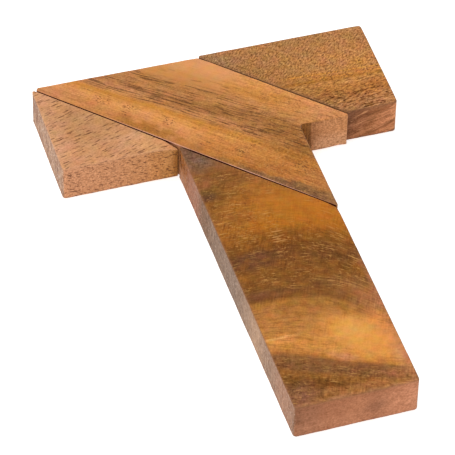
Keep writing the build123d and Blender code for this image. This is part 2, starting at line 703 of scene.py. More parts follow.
        # painted shade along the seams between blocks
        if shadow_colour:
            self.paint(gap_shade * 0.96, shadow_colour)
        bump = node("Bump", {"Strength": 1.0, "Distance": MM, "Height": relief})[0]
        surface = node("BsdfPrincipled", {
            "Base Color": self.colour, "Roughness": rough,
            "Specular IOR Level": gap_shade.lin(-level, level), "Normal": bump})[0]
        node("OutputMaterial", {0: surface})
        return self.material


# ---------------------------------------------------------------- left triangle

# (mm right of the near left corner, colour) on the walls square to y; the last stops darken into
# painted shade where the wall meets the stem
TRIANGLE_NEAR = [
    (0.0, (0.6, 0.262, 0.128)), (12.0, (0.58, 0.252, 0.115)), (20.0, (0.575, 0.248, 0.1)),
    (23.5, (0.6, 0.252, 0.085)), (27.0, (0.59, 0.26, 0.084)), (28.6, (0.4, 0.155, 0.036)),
    (30.0, (0.2, 0.075, 0.02))]


def triangle_wood(corners):
    wood = Wood("triangle_wood")
    x, y, z = wood.xyz
    y_face, x_face, side = wood.faces
    left, near = corners[1]
    fibres = wood.fibres(yaw=17.0, dip=-7.0, centre=corners[1])
    broad = texture(fibres.divided(20.0, 7.0, 7.0))
    wood.colour = mix(broad.step(0.38, 0.62), (0.62, 0.298, 0.14), (0.54, 0.255, 0.106))
    wood.patches({"grey": (left + 10.0, near + 12.0, 9.0, 5.5, -40.0, 0.8, None,
                           0.8, (0.505, 0.246, 0.11))})
    wood.paint(x.step(left + 6.0, left + 0.5) * 0.6, (0.68, 0.34, 0.18))
    wood.paint(y.step(near + 7.0, near + 1.0) * 0.7, (0.62, 0.29, 0.138))
    wood.patches({
        "gold": (left + 25.5, near + 2.0, 5.0, 2.8, -10.0, 0.7, None, 0.7, (0.67, 0.31, 0.105)),
        "clear": (left + 19.0, near + 6.0, 5.5, 2.6, -35.0, 0.8, None, 0.6, (0.67, 0.345, 0.17))})
    wood.tint(size=3.2, amount=0.22, seed=5.0)

    # walls: warm ones square to y, hazy grey ones square to x, end grain whose grey is partly a
    # painted sheen
    wall = bands(x, [(left + at, colour) for at, colour in TRIANGLE_NEAR])
    # painted shade: the lower right of the wall, by the stem, is darkened
    low_right_shade = z.step(6.0, 2.0) * x.step(left + 23.0, left + 27.0) * 0.45
    wall = mix(low_right_shade, wall, (0.4, 0.165, 0.038))
    wood.paint(side * y_face, times(wall, (0.92, 0.97, 1.0)))
    haze = wood.scaled(0.0, 0.55, 0.28, detail=3.0)
    haze = haze - y.step(near + 18.0, near + 26.0) * z.step(3.0, 7.0) * 0.12
    haze = haze + wood.spot(near + 15.0, 7.0, 5.0, 4.0, 0.0, soft=0.8, plane=(y, z)) * 0.07
    wood.paint(side * x_face,
               mix(haze.step(0.33, 0.63), (0.29, 0.148, 0.09), (0.45, 0.268, 0.168)))

    # light and dark along the fibres, and grit
    mottle = fibres.variation(
        seed=3.0, sizes=[(2.6, 0.34, 0.42, 1.0), (8.0, 0.8, 0.38, 2.0), (1.0, 0.42, 0.30, 2.0)])
    mottle = (mottle + wood.grit(0.45, seed=4.0) * side.lin(0.35, 0.75)
              + wood.grit(1.0, seed=7.0, detail=2.0, squash=(1.0, 1.0, 0.5)) * side * x_face * 1.3)
    wood.colour = shade(wood.colour, mottle)
    # painted glints on the end grain
    end_glints = side * x_face * wood.scaled(3.0, 3.0, 1.1, detail=2.0).step(0.56, 0.66)
    wood.paint(end_glints * 0.60, (0.78, 0.6, 0.48))

    # dark pores, and dots on the walls square to y
    pores = highest(
        fibres.dashes(along=7.6, across=0.60, size=0.25, seed=5.0, chop=0.60, least=0.65),
        fibres.dashes(along=3.6, across=0.54, size=0.25, seed=9.0, chop=0.45, least=0.6) * 0.90)
    dots = side * y_face * wood.scaled(2.0, 2.0, 2.6, detail=1.0).step(0.64, 0.72)
    pores = highest(pores, dots * 0.6)
    wood.paint(pores * 0.95, (0.12, 0.038, 0.018))
    # painted shade: a dark hairline at the top of the wall along the seam with the pentagon
    gap_shade = wood.seam_shadow(1.0)
    wood.paint(gap_shade * 0.90, (0.07, 0.018, 0.006))
    return wood.finish(relief=pores * -0.10 + mottle * 0.03, rough=0.62,
                       highlight_colour=(0.7, 0.38, 0.22), arris_highlight=0.22, gap_shade=gap_shade)


# ---------------------------------------------------------------- centre pentagon

# (mm across the grain from the long diagonal side, colour)
PENTAGON_BANDS = [
    (-4.0, (0.46, 0.185, 0.05)), (0.0, (0.5, 0.2, 0.055)), (1.2, (0.54, 0.215, 0.06)),
    (3.0, (0.595, 0.24, 0.08)), (6.0, (0.695, 0.292, 0.094)), (7.8, (0.64, 0.262, 0.066)),
    (9.1, (0.55, 0.218, 0.04)), (11.0, (0.54, 0.226, 0.074)), (12.7, (0.51, 0.214, 0.08)),
    (14.5, (0.455, 0.188, 0.062)), (17.0, (0.5, 0.21, 0.07)), (19.5, (0.53, 0.225, 0.07)),
    (23.0, (0.6, 0.25, 0.075)), (28.0, (0.7, 0.308, 0.115))]
# (mm along the diagonal, half width of the dark core in units of 5 mm)
CORE_WIDTH = [(20.0, 0.16), (30.0, 0.26), (44.0, 0.44), (60.0, 0.68), (70.0, 0.80)]
# (mm right of the notch, colour) on its wall square to y; the first stops are its dark inner corner,
# partly stain and partly painted shade
NOTCH_WALL = [
    (0.0, (0.27, 0.102, 0.019)), (1.6, (0.32, 0.126, 0.028)), (2.6, (0.345, 0.142, 0.04)),
    (3.3, (0.5, 0.215, 0.088)), (8.0, (0.63, 0.28, 0.12)), (13.0, (0.62, 0.268, 0.108))]
# clusters of pores: x, y, half length, half width, turn, softness
PORE_CLUSTERS = [
    (-29.3, 6.6, 2.4, 1.5, -38.0, 0.5), (-23.4, 2.0, 1.9, 0.9, -30.0, 0.5),
    (-15.6, -5.4, 1.8, 1.6, -40.0, 0.5), (-1.4, -20.2, 1.8, 1.6, -30.0, 0.5),
    (2.2, -18.9, 1.6, 0.9, 0.0, 0.5), (11.2, -29.8, 3.2, 2.3, -30.0, 0.6)]


def pentagon_wood(corners):
    wood = Wood("pentagon_wood")
    x, y, z = wood.xyz
    y_face, x_face, side = wood.faces
    tip, tail, notch, after_notch = corners[:4]
    # mm from the tip along the long diagonal side, and mm into the block from it
    from_tip_x, from_tip_y = x - tip[0], y - tip[1]
    inward = (from_tip_x + from_tip_y) * math.sqrt(0.5)
    along = (from_tip_x - from_tip_y) * math.sqrt(0.5)
    # the bands fan out slightly and sway
    lean = along - 35.0
    fan = (inward - lean * 0.08).step(5.0, 18.0, 0.035, 0.140)
    across = inward - lean * fan
    height = along.lin(0.05, z)
    sway = (texture(Fibres(along, across, height).divided(22.0, 7.0, 12.0)) - 0.5) * 1.7
    band = across + sway
    fibres = Fibres(along, band, height)
    wood.colour = bands(band, PENTAGON_BANDS)

    # darker core that widens towards the notch
    centre = along.step(28.0, 48.0, 12.0, 16.5) + along.step(50.0, 66.0, 0.0, 0.6)
    from_core = abs((inward + sway * 0.7) - centre)
    core = (from_core - curve(along, CORE_WIDTH) * 5.0).step(1.3, -1.2) * along.step(20.0, 34.0)
    core = core * wood.cloud(3.0, seed=2.0).step(0.30, 0.62).lin(0.30, 0.70)
    wood.paint(core * 0.78, (0.362, 0.15, 0.04))
    wood.patches({"greenish": (-9.0, 5.0, 9.0, 2.0, -38.0, 0.8,
                               wood.ragged(3.0, seed=3.0, amount=1.0), 0.35, (0.4, 0.175, 0.04))})

    # patches that follow the long diagonal side
    olive = along.window(21.0, 27.0, 38.0, 45.0) * inward.step(0.1, 0.9) * inward.step(4.6, 2.8)
    olive = olive * wood.cloud(3.0, seed=4.0).step(0.28, 0.50)
    wood.paint(olive * 0.90, (0.425, 0.162, 0.032))
    verge = (inward + wood.ragged(2.4, seed=44.0, amount=2.4)).step(2.6, 1.2)
    verge = along.window(42.0, 47.0, 60.0, 66.0) * verge
    wood.paint(verge * 0.65, (0.365, 0.163, 0.058))
    deep = along.window(40.0, 48.0, 66.0, 72.0) * inward.step(9.5, 6.5)
    wood.tone(deep * 0.95, (0.86, 0.80, 0.62))
    honey = along.window(38.0, 46.0, 60.0, 66.0) * inward.step(22.0, 24.5)
    wood.tone(honey, (0.97, 0.93, 0.74))
    rust = along.close(52.0, 9.0, 5.0) * inward.step(8.0, 4.0)
    rust = rust * wood.cloud(4.0, seed=8.0).step(0.40, 0.60)
    wood.paint(rust * 0.45, (0.56, 0.21, 0.042))
    wood.patches({
        "brown": (8.7, -22.0, 5.0, 2.4, -45.0, 0.8, wood.ragged(3.0, seed=12.0, amount=1.0),
                  0.6, (0.45, 0.192, 0.056)),
        "glow": (8.2, -31.0, 4.6, 6.5, 20.0, 0.8, wood.ragged(4.0, seed=13.0, amount=1.0),
                 0.75, (0.555, 0.218, 0.06)),
        "tail": (tail[0] - 1.5, tail[1] + 8.0, 2.6, 6.5, 0.0, 0.8, None, 0.5, (0.5, 0.21, 0.085))})
    wood.tone(along.step(50.0, 68.0) * inward.step(22.0, 16.0), (0.82, 0.76, 0.62))
    wood.patches({
        "pink": (after_notch[0] - 5.0, after_notch[1] + 2.5, 8.0, 2.8, -30.0, 0.8, None,
                 0.6, (0.65, 0.265, 0.108)),
        "tip": (tip[0] + 4.0, tip[1] - 2.0, 6.0, 2.4, -25.0, 0.8, None, 0.7, (0.57, 0.232, 0.096))})

    # dark stain that widens along the low end of the diagonal
    stain_width = (along - 58.0).lin(0.115, 1.1)
    stain = (inward + wood.ragged(2.6, seed=7.0, amount=2.6) - stain_width).step(0.7, -0.5)
    stain = stain * along.step(55.0, 60.0)
    wood.paint(stain * 0.95, mix(wood.cloud(1.8, seed=17.0).step(0.42, 0.60),
                                 (0.185, 0.083, 0.033), (0.29, 0.13, 0.046)))
    wood.touches([(3.7, -32.0, 3.6, 1.9, -45.0, (1.14, 1.17, 1.30)),
                  (-23.0, 9.0, 4.5, 2.0, -20.0, (1.09, 1.11, 1.12))])
    wood.tint(size=2.4, amount=0.26, seed=2.0)

    # walls: the notch, paler low down with painted bounce light, its dark inner corner, partly stain
    # and partly painted shade, and those square to x
    reach = x - notch[0]
    wall = bands(reach, NOTCH_WALL)
    # painted bounce light from the floor: the lower wall is paler and pinker
    wall = mix(z.step(6.5, 2.0) * reach.step(2.4, 5.0) * 0.65, wall, (0.7, 0.37, 0.205))
    # painted shade, low down in the inner corner
    wall = mix(z.step(6.5, 3.0) * reach.step(3.6, 2.4) * 0.35, wall, (0.2, 0.078, 0.026))
    in_notch = y_face * side * reach.step(-2.5, -0.5) * wood.ny.step(0.1, -0.1)
    wood.paint(in_notch, times(wall, (0.81, 0.81, 0.78)))
    # dark lines in the inner corner, partly stain and partly painted shade
    throat = wood.spot(notch[0] + 0.4, notch[1], 3.1, 3.1, 0.0) * side
    throat = throat * z.step(9.5, 2.5, 0.72, 1.12)
    lines = wood.scaled(2.6, 2.6, 0.10, detail=1.0).step(0.46, 0.56)
    wood.paint(throat * lines.lin(0.58, 0.04), (0.12, 0.045, 0.012))
    end_tone = (wood.cloud(2.0, seed=3.0, detail=3.0) - 0.5) * 0.8
    wood.paint(side * x_face * 0.75, shade((0.46, 0.21, 0.105), end_tone))

    # light and dark: almost none along the pale edge, strong in the darker bands
    calm = band.step(19.0, 22.0) * along.step(46.0, 36.0)
    strong = highest(along.step(38.0, 55.0), band.window(9.5, 12.0, 17.0, 20.0))
    mottle = fibres.variation(
        seed=11.0, sizes=[(9.0, 0.34, 0.72, 1.0), (20.0, 0.75, 0.42, 1.0), (0.9, 0.42, 0.42, 1.0)])
    mottle = mottle + wood.grit(0.42, seed=3.0) * side.lin(0.30, 0.85)
    mottle = mottle * (1.0 - calm * 0.78) * strong.lin(0.25, 0.90)
    wood.colour = shade(wood.colour, mottle)

    # long dark streaks in three zones, broken into pieces
    zone = highest(
        band.window(9.4, 11.0, 15.6, 17.0) * along.step(7.0, 12.0),
        band.close(19.2, 2.2, 1.2) * along.step(16.0, 20.0) * along.step(46.0, 38.0),
        band.close(17.5, 2.6, 1.6) * along.step(38.0, 42.0) * along.step(64.0, 58.0) * 0.85)
    pieces = texture(combine(along / 7.0, band / 0.55, height * 1.4), 0.0).step(0.36, 0.46)
    chain = texture(combine(along * 1.5, band * 1.4, height * 1.2), 0.0)
    chain = chain.step(0.38, 0.55).lin(0.35, 0.65)
    streaks = highest(
        fibres.streaks(along=60.0, across=0.34, seed=4.0, low=0.600, high=0.635, detail=0.0),
        fibres.streaks(along=30.0, across=0.34, seed=27.0, low=0.61, high=0.65, detail=0.0) * 0.90)
    short = fibres.streaks(along=5.5, across=0.50, seed=14.0, low=0.62, high=0.68, detail=1.0)
    short = band.window(20.0, 22.0, 23.5, 26.5) * along.step(20.0, 30.0) * short * 0.45
    streaks = (streaks * zone * pieces * chain + short) * (1.0 - side)
    wood.paint(streaks * 0.78, (0.105, 0.04, 0.013))

    # pores: a few clusters in the gold bands, many towards the notch
    clusters = highest(*[wood.spot(*place) for place in PORE_CLUSTERS],
                       wood.spot(-22.0, -7.5, 7.5, 1.6, -45.0, soft=0.6) * 0.6)
    points = texture(combine(along * 1.7, band * 2.8, height * 2.4), 1.0).step(0.57, 0.64)
    scattered = wood.cloud(3.4, seed=31.0, detail=1.0).step(0.52, 0.64)
    points = points * highest(clusters, along.step(40.0, 52.0) * scattered * 0.5)
    pores = fibres.dashes(along=3.8, across=0.66, size=0.27, seed=5.0, chop=0.45, least=0.1)
    few = wood.cloud(5.5, seed=9.0, detail=1.0).step(0.48, 0.60)
    pores = pores * few.lin(0.85, 0.12) * (1.0 - calm * 0.8)
    pores = highest(pores, points * 0.95)
    wood.paint(pores * 0.80, (0.17, 0.056, 0.018))
    bright = wood.grit(0.55, seed=21.0).step(0.08, 0.16) * along.step(40.0, 55.0)
    wood.paint(bright * (1.0 - side) * 0.22, (0.8, 0.42, 0.14))
    # painted shade: dark hairlines at the tops of the walls along both seams, weaker near the
    # triangle's tip
    gap_shade = highest(wood.seam_shadow(1.0), wood.seam_shadow(-1.0, top=9.995, fade=0.06))
    gap_shade = gap_shade * (1.0 - wood.spot(-15.6, -14.6, 2.6, 1.6, -45.0) * 0.75)
    wood.paint(gap_shade * 0.97, (0.05, 0.004, 0.001))

    # painted highlight: the long diagonal's arris is painted pale and pink below the middle; hardly
    # any on the notch
    diagonal_highlight = (wood.nx + wood.ny).step(-0.20, -0.55) * y.step(2.0, -6.0) * y.step(-42.0, -36.0)
    diagonal_highlight = diagonal_highlight * wood.cloud(4.0, seed=41.0).step(0.38, 0.58).lin(0.4, 0.6)
    inside = x.step(notch[0] - 4.0, notch[0] - 1.5) * y.close(notch[1], 5.0, 2.0)
    return wood.finish(
        relief=pores * -0.08 + streaks * -0.05 + mottle * 0.03, rough=0.60,
        highlight_colour=(0.84, 0.44, 0.31), arris_highlight=diagonal_highlight.lin(0.75, 0.10) * (1.0 - inside),
        gap_shade=gap_shade, shadow_colour=(0.066, 0.006, 0.003))


# ---------------------------------------------------------------- right trapezoid

# (y in mm with the bend of the grain, colour)
RIGHT_BANDS = [
    (-15.0, (0.36, 0.15, 0.06)), (-13.4, (0.33, 0.128, 0.042)), (-12.2, (0.52, 0.21, 0.078)),
    (-11.0, (0.36, 0.138, 0.044)), (-9.6, (0.44, 0.176, 0.054)), (-8.2, (0.37, 0.135, 0.033)),
    (-6.0, (0.45, 0.168, 0.036)), (-3.0, (0.52, 0.22, 0.054)), (-1.2, (0.48, 0.192, 0.04)),
    (0.4, (0.5, 0.21, 0.054)), (3.0, (0.462, 0.2, 0.062)), (10.0, (0.45, 0.2, 0.066)),
    (17.0, (0.436, 0.198, 0.07))]


def right_wood(corners):
    wood = Wood("right_wood")
    x, y, z = wood.xyz
    y_face, x_face, side = wood.faces
    far_left, near_left, near_right = corners[:3]
    left = near_left[0]
    fibres = wood.fibres(yaw=1.5, dip=20.0)
    bend = (texture(combine(x / 16.0, y / 6.0, z / 10.0)) - 0.5) * 2.0
    band = y + bend + x * -0.01
    wood.colour = bands(band, RIGHT_BANDS)
    wood.paint((x + y).step(29.0, 9.0) * 0.62, (0.345, 0.16, 0.052))
    wood.patches({
        "warm": (34.0, 3.0, 9.0, 7.0, -10.0, 0.8, wood.ragged(5.0, seed=3.0, amount=1.2),
                 0.6, (0.545, 0.23, 0.076)),
        "yellow": (35.5, 2.8, 2.6, 2.0, 20.0, 0.7, None, 0.4, (0.56, 0.24, 0.034)),
        "grey": (far_left[0] + 3.5, far_left[1] - 2.2, 6.0, 2.8, -30.0, 0.8, None,
                 0.80, (0.35, 0.184, 0.086))})
    wood.paint((x + y).step(15.0, 13.2) * 0.45, (0.25, 0.118, 0.052))
    wood.patches({"rust": (5.5, 14.6, 3.0, 1.2, 0.0, 0.8, None, 0.5, (0.47, 0.19, 0.075))})

    # a golden vein in two strands, with a dark line on its near side
    path = y + x * 0.035 + bend * 0.4
    vein = highest(path.close(1.8, 0.36, 0.10) * x.step(14.0, 20.0),
                   path.close(0.3, 0.32, 0.08) * x.step(20.0, 26.0) * 0.9)
    wood.paint(vein * 0.80, (0.64, 0.268, 0.05))
    wood.paint(path.close(-0.6, 0.7, 0.2) * x.step(6.0, 14.0) * 0.60, (0.39, 0.15, 0.022))
    wood.touches([(1.4, 13.2, 3.0, 1.8, -30.0, (1.10, 1.11, 1.06)),
                  (33.5, -11.6, 7.0, 1.4, 0.0, (0.90, 0.91, 0.91)),
                  (31.0, -0.2, 6.0, 1.1, 0.0, (0.95, 0.92, 0.84))])
    wood.tint(size=2.6, amount=0.30, seed=9.0)

    # walls, blotched
    blot = texture(fibres.divided(9.0, 2.2, 1.6), 3.0, 0.55)
    wall = bands(x + z * -0.35, [
        (left - 2.0, (0.25, 0.1, 0.05)), (left + 2.0, (0.325, 0.124, 0.056)),
        (left + 5.0, (0.42, 0.165, 0.07)), (left + 8.5, (0.545, 0.215, 0.098)),
        (near_right[0], (0.62, 0.26, 0.122))])
    wall = mix(blot.step(0.44, 0.62), wall, shade(wall, -0.40))
    wood.paint(side * y_face, times(wall, (0.92, 0.92, 0.88)))
    wood.paint(side * x_face * 0.8, (0.42, 0.225, 0.125))

    # speckle like end grain, slanting up to the right behind the vein, flatter in front of it
    steep_along, steep_across = wood.turned(48.0)
    flat_along, flat_across = wood.turned(12.0)
    steep = texture(combine(steep_along * 1.15, steep_across * 2.7, z * 2.6), 1.0, 0.6) - 0.5
    flat = combine(flat_along * 0.85, flat_across * 2.4, z.lin(2.4, 5.0))
    flat = texture(flat, 1.0, 0.6) - 0.5
    front = y.step(3.0, -3.0)
    speck = steep * (1.0 - front) + flat * front
    coarse = texture(combine(flat_along / 1.7, flat_across / 0.62, z / 0.6), 1.0, 0.6) - 0.5
    coarse = band.step(-6.0, -8.0) * coarse * side.lin(-2.6, 3.0)
    mottle = speck * side.lin(-1.6, 2.4) + wood.grit(0.40, seed=6.0) * 1.3
    mottle = mottle + fibres.variation(
        seed=23.0, sizes=[(1.8, 0.36, 0.70, 1.0), (9.0, 0.8, 0.40, 2.0)])
    mottle = mottle + coarse
    wood.colour = shade(wood.colour, mottle)

    # dark holes on the flat faces, dark and pale lines on the walls
    holes = texture(combine(steep_along * 1.3, steep_across * 2.2, z.lin(2.2, 8.0)), 1.0)
    holes = holes.step(0.57, 0.65) * (1.0 - side)
    holes = holes * wood.cloud(5.0, seed=14.0).step(0.40, 0.60).lin(0.5, 0.5)
    lines = fibres.streaks(along=6.0, across=0.45, seed=31.0, low=0.54, high=0.62)
    wood.paint(highest(holes * 0.60, side * y_face * lines * 0.45), (0.14, 0.055, 0.018))
    pale = texture(combine(flat_along * 1.1, flat_across * 1.9, z.lin(1.9, 3.0)), 1.0)
    pale = band.step(-8.0, -9.5) * (1.0 - side) * pale.step(0.58, 0.66) * 0.55
    lights = fibres.streaks(along=4.0, across=0.55, seed=37.0, low=0.60, high=0.68)
    wood.paint(highest(pale, side * y_face * lights * 0.45), (0.72, 0.34, 0.15))
    # painted shade: a dark line at the top of the wall along the seam with the pentagon, towards the
    # far end; painted light, a paler warm brown, towards the near end
    gap_shade = wood.seam_shadow(-1.0)
    wood.paint(gap_shade * y.step(-2.0, 9.0, 0.0, 0.55), (0.12, 0.05, 0.014))
    wood.paint(gap_shade * y.step(4.0, -2.0) * 0.45, (0.56, 0.25, 0.08))
    return wood.finish(relief=holes * -0.06 + mottle * 0.03, rough=0.62,
                       highlight_colour=(0.62, 0.33, 0.19), arris_highlight=0.10,
                       far_arris_shade=0.60, near_arris_shade=0.40, gap_shade=gap_shade)


# ---------------------------------------------------------------- stem

# (mm down the stem with the fall of the grain, colour)
STEM_UPPER = [
    (0, (0.28, 0.114, 0.04)), (8, (0.29, 0.112, 0.032)), (14, (0.3, 0.11, 0.022)),
    (18, (0.365, 0.128, 0.017)), (24, (0.455, 0.154, 0.015)), (31, (0.43, 0.142, 0.011)),
    (34.6, (0.275, 0.095, 0.012)), (41, (0.15, 0.054, 0.012)), (47, (0.22, 0.082, 0.012)),
    (52.0, (0.175, 0.066, 0.014)), (55.0, (0.22, 0.084, 0.017)), (56.6, (0.39, 0.155, 0.03)),
    (60, (0.45, 0.178, 0.04))]
STEM_LOWER = [
    (56, (0.4, 0.16, 0.036)), (60, (0.44, 0.175, 0.042)), (64.0, (0.5, 0.2, 0.046)),
    (67.5, (0.64, 0.255, 0.056)), (70.4, (0.5, 0.195, 0.04)), (72.0, (0.25, 0.098, 0.03)),
    (75.0, (0.215, 0.084, 0.028)), (77.5, (0.27, 0.102, 0.02)), (80, (0.17, 0.06, 0.01)),
    (84, (0.215, 0.078, 0.017)), (92, (0.2, 0.078, 0.026))]
# (mm nearer than the top left corner, colour) on the walls square to x
STEM_LONG_WALL = [
    (0, (0.31, 0.106, 0.018)), (5, (0.355, 0.138, 0.042)), (9, (0.395, 0.176, 0.102)),
    (14, (0.375, 0.172, 0.106)), (20, (0.232, 0.126, 0.072)), (30, (0.27, 0.174, 0.122)),
    (44, (0.275, 0.184, 0.136)), (54, (0.36, 0.232, 0.16)), (60, (0.465, 0.29, 0.188)),
    (70, (0.345, 0.212, 0.144)), (82, (0.412, 0.22, 0.142)), (90, (0.335, 0.185, 0.12))]
# (mm right of the left foot corner, colour) on the near wall
STEM_FOOT = [
    (0, (0.25, 0.108, 0.058)), (4, (0.335, 0.142, 0.076)), (9, (0.41, 0.168, 0.086)),
    (15, (0.47, 0.196, 0.1)), (20, (0.43, 0.18, 0.094)), (26, (0.56, 0.24, 0.13)),
    (30, (0.6, 0.265, 0.15))]
# short pale bars: x, y, half length, turn
RUNGS = [(-1.7, -48.6, 1.9, -1.0), (-1.9, -50.3, 1.7, 4.0),
         (-2.3, -51.1, 1.2, -5.0), (-1.6, -51.9, 1.8, -2.0)]
# x, y, half length, half width, turn, colour factors
STEM_TOUCHES = [
    (-10.5, -28.7, 5.0, 2.4, 0.0, (0.90, 0.89, 0.86)),
    (-13.2, -30.8, 2.4, 1.7, 0.0, (0.96, 1.10, 0.96)),
    (-1.0, -51.0, 6.5, 3.0, -5.0, (0.88, 0.82, 0.72)),
    (-10.5, -57.0, 6.0, 2.8, 0.0, (0.93, 0.94, 0.78)),
    (8.7, -62.0, 4.5, 3.0, -30.0, (0.90, 0.90, 0.90)),
    (-6.3, -67.6, 5.5, 2.0, -8.0, (1.14, 1.18, 0.92)),
    (-1.3, -74.5, 4.5, 2.2, -10.0, (0.92, 0.94, 0.90)),
    (13.6, -57.0, 2.4, 5.0, 0.0, (1.10, 1.10, 1.06))]


def stem_wood(corners):
    wood = Wood("stem_wood")
    x, y, z = wood.xyz
    y_face, x_face, side = wood.faces
    top_left, foot_left, foot_right = corners[:3]
    left = top_left[0]
    # the grain is flat on the left and falls to the right; deep marks the foot of the stem
    part = math_node("DIVIDE", x - (left + 1.0), 29.7, clamp=True)
    deep = y.step(-69.0, -88.0)
    drop = part ** 2.5 * 5.1 * (1.0 - deep) + part * 12.5 * deep
    down = (y + 14.4) * -1.0 - drop
    wobble = texture(combine(x / 7.0, y / 4.0, z / 7.0)) - 0.5
    sway = (texture(combine(x / 15.0, down / 7.0, z / 9.0), 3.0, 0.55) - 0.5) * 3.2
    band = down + sway + z * 0.2 + -2.0
    # the fibres themselves swing down to the right in the middle of the stem
    swing = part ** 3.165 * y.step(-40.0, -56.0, 5.0, 10.4) * (1.0 - deep)
    line = (y + 14.4) * -1.0 - (swing + part * 12.5 * deep)
    fibres = Fibres(x, line, z)
    wood.colour = mix(band.step(57.2, 58.4), bands(band, STEM_UPPER), bands(band, STEM_LOWER))

    # darker upper left, purple and ochre, then the patches down the stem
    dark_left = x.step(left + 17.0, left + 1.0) * band.step(8.0, 14.0) * band.step(36.0, 26.0)
    wood.paint(dark_left * 0.80, (0.19, 0.072, 0.012))
    purple = highest(wood.spot(-9.5, -56.5, 6.0, 2.6, 0.0, 0.7, wobble * 1.2) * 0.85,
                     wood.spot(-9.0, -68.0, 6.5, 1.3, 0.0, 0.7, wobble * 1.4) * 0.7)
    wood.paint(purple, (0.153, 0.058, 0.023))
    ochre = wood.cloud(3.2, seed=51.0).step(0.50, 0.66)
    ochre = ochre * band.step(14.0, 20.0) * band.step(56.0, 50.0) * 0.22
    wood.paint(ochre, (0.44, 0.175, 0.022))
    masks = wood.patches({
        "amber": (left + 1.4, -28.6, 4.0, 1.9, 5.0, 0.7, wobble * 0.8, 0.65, (0.33, 0.12, 0.036)),
        "brass": (left + 4.5, -42.0, 5.5, 3.6, 0.0, 0.8, wobble * 0.9, 0.40, (0.35, 0.126, 0.02)),
        "smudge": (left + 2.0, -33.4, 3.4, 1.8, 6.0, 0.7, wobble * 1.2,
                   0.75, (0.125, 0.052, 0.024)),
        "orange": (10.5, -46.0, 7.0, 5.0, -35.0, 0.8, None, 0.6, (0.48, 0.15, 0.011)),
        "murk": (5.0, -57.0, 9.0, 6.0, 20.0, 0.9, wobble * 0.9, 0.45, (0.19, 0.066, 0.012)),
        "warm": (10.5, -71.0, 5.0, 3.0, -35.0, 0.8, wobble * 0.9, 0.6, (0.37, 0.15, 0.042)),
        "peach": (4.0, -77.0, 7.0, 3.4, -15.0, 0.8, wobble * 0.8, 0.15, (0.44, 0.176, 0.044)),
        "bright": (8.2, -86.4, 9.2, 5.0, -40.0, 0.60, wobble * 1.0, 0.96, (0.75, 0.305, 0.066)),
        "heart": (5.8, -84.4, 4.8, 3.2, -35.0, 0.8, wobble * 0.8, 0.85, (0.745, 0.345, 0.078)),
        "rosy": (13.2, -82.5, 2.2, 7.0, 6.0, 0.9, None, 0.65, (0.72, 0.255, 0.074)),
        "brim": (14.3, -94.2, 1.9, 4.8, 6.0, 0.9, wobble * 0.8, 0.70, (0.64, 0.265, 0.1)),
        "dusk": (12.5, -76.5, 3.6, 3.0, 0.0, 0.8, wobble * 1.2, 0.55, (0.34, 0.135, 0.05)),
        "blush": (1.8, -91.6, 3.4, 1.1, -28.0, 0.7, None, 0.5, (0.64, 0.26, 0.115)),
        "plum": (8.5, -98.0, 5.2, 1.5, -26.0, 0.7, wobble * 1.3, 0.15, (0.2, 0.078, 0.036)),
        "ember": (10.6, -99.2, 3.6, 1.3, -20.0, 0.8, wobble * 1.3, 0.45, (0.43, 0.16, 0.06)),
        "foot": (4.0, -102.0, 12.0, 2.0, -2.0, 0.7, wobble * 1.6, 0.6, (0.44, 0.17, 0.052))})
    pale_line = abs(y + 81.9 + wobble * 0.8).step(0.55, 0.15) * x.step(-5.0, -10.0) * 0.7
    wood.paint(pale_line, (0.82, 0.4, 0.12))
    masks |= wood.patches({
        "grey": (left + 2.0, top_left[1] - 3.8, 6.2, 5.6, -20.0, 0.35, wobble * 0.9,
                 0.92, (0.182, 0.091, 0.041)),
        "blue": (left + 3.8, top_left[1] - 6.6, 2.0, 1.0, -20.0, 0.7, None,
                 0.3, (0.23, 0.15, 0.1))})
    # lighter along the foot and the lower right edge
    wood.paint(y.step(foot_left[1] + 1.6, foot_left[1] + 0.5) * 0.45, (0.5, 0.215, 0.095))
    right_edge = x.step(foot_right[0] - 2.6, foot_right[0] - 0.7) * y.step(-58.0, -66.0)
    wood.paint(right_edge * 0.45, (0.48, 0.19, 0.085))
    wood.tone(band.step(37.0, 30.0), (1.0, 1.0, 1.16))
    wood.tone(band.window(36.0, 42.0, 54.0, 57.0), (1.05, 1.02, 1.14))
    wood.patches({"mauve": (foot_left[0] + 2.0, foot_left[1] + 3.4, 4.4, 3.0, 0.0, 0.8,
                            wobble * 1.0, 0.55, (0.25, 0.108, 0.062))})
    wood.touches(STEM_TOUCHES)
    wood.tint(size=2.2, amount=0.34, seed=13.0)

    # long walls: end grain whose grey is partly a painted sheen, paler low down near the top left
    # corner with painted bounce light, and a slanting dark line near that corner
    run = (y + -top_left[1]) * -1.0
    wall = bands(run, STEM_LONG_WALL)
    # painted bounce light: paler low down near the top left corner
    wall = mix(z.step(6.5, 2.5) * run.step(9.0, 2.0) * 0.7, wall, (0.58, 0.31, 0.19))
    wall = mix((run + z * 0.34).step(4.1, 3.7) * z.step(3.0, 6.0) * 0.7, wall, (0.48, 0.215, 0.07))
    slant = (run + z * 0.34).close(3.9, 0.60, 0.25)
    wall = mix(slant * z.step(4.0, 5.5) * 0.95, wall, (0.09, 0.032, 0.008))
    wood.paint(side * x_face, times(wall, (0.83, 0.79, 0.73)))

    # wall of the foot
    across = x - foot_left[0]
    foot = bands(across, STEM_FOOT)
